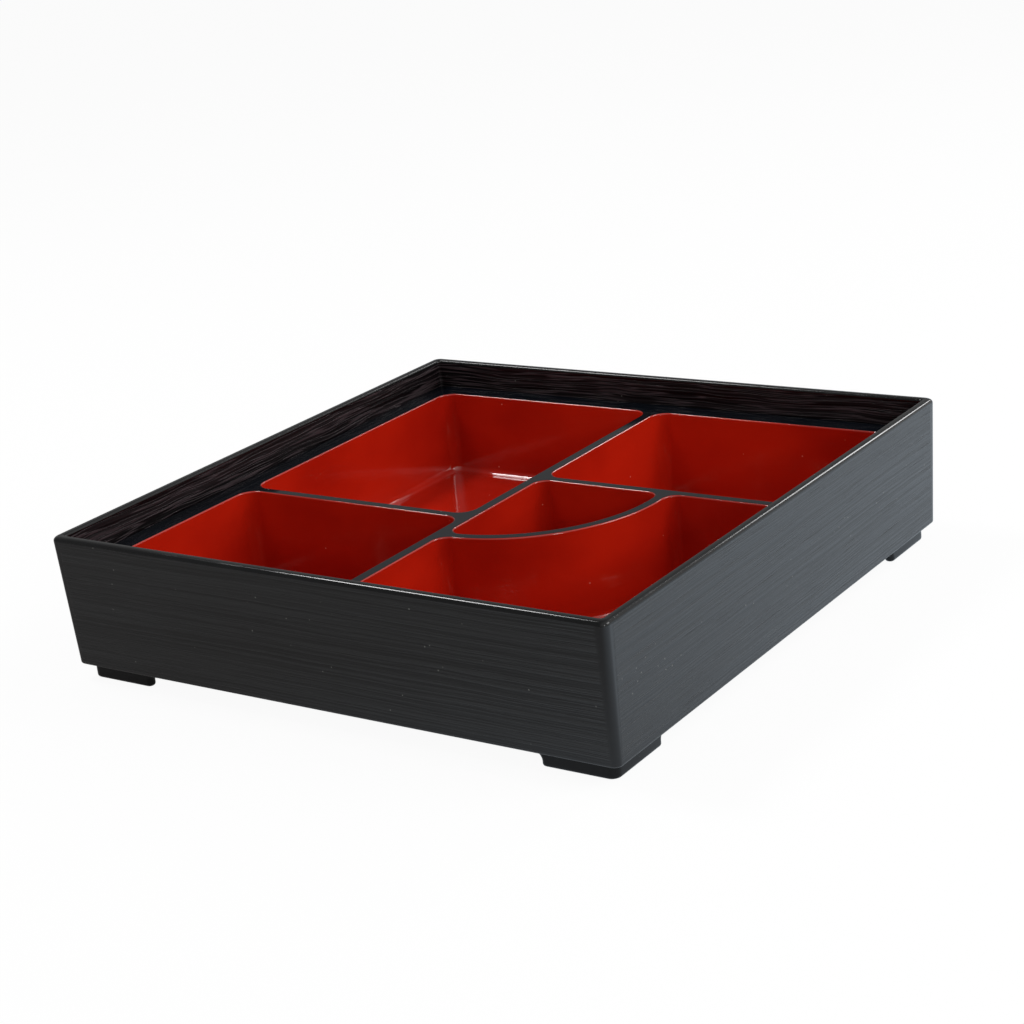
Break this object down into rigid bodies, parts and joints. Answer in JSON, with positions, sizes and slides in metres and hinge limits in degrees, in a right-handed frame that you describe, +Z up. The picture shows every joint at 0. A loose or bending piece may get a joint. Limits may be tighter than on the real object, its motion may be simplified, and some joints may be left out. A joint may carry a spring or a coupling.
{
  "type": "square meal box with a compartment tray",
  "caption": "Square tier of a lacquer-look meal box: grained black walls on corner feet set in to nest on a rim, with a lift-out tray parted into food pockets.",
  "frame": {"origin": "centre of the plane that the feet stand on", "axes": "+Z up, +X to the right along the front wall, +Y to the back"},
  "size_m": [0.273, 0.273, 0.0645],
  "materials": {
    "grained_black": "satin black with fine moulded wood grain",
    "smooth_black": "smooth satin black",
    "red_gloss": "high gloss vermilion pockets under a black gloss top"
  },
  "bodies": {
    "box": {"wall_frame": "grained_black", "base_panel": "smooth_black", "foot_front_left": "smooth_black", "foot_front_right": "smooth_black", "foot_back_left": "smooth_black", "foot_back_right": "smooth_black"},
    "tray": {"compartment_tray": "red_gloss"}
  },
  "joints": [
    {"name": "tray_lift", "type": "slide", "parent": "box", "child": "tray", "axis": [0, 0, 1], "range_m": [0, 0.07]}
  ]
}
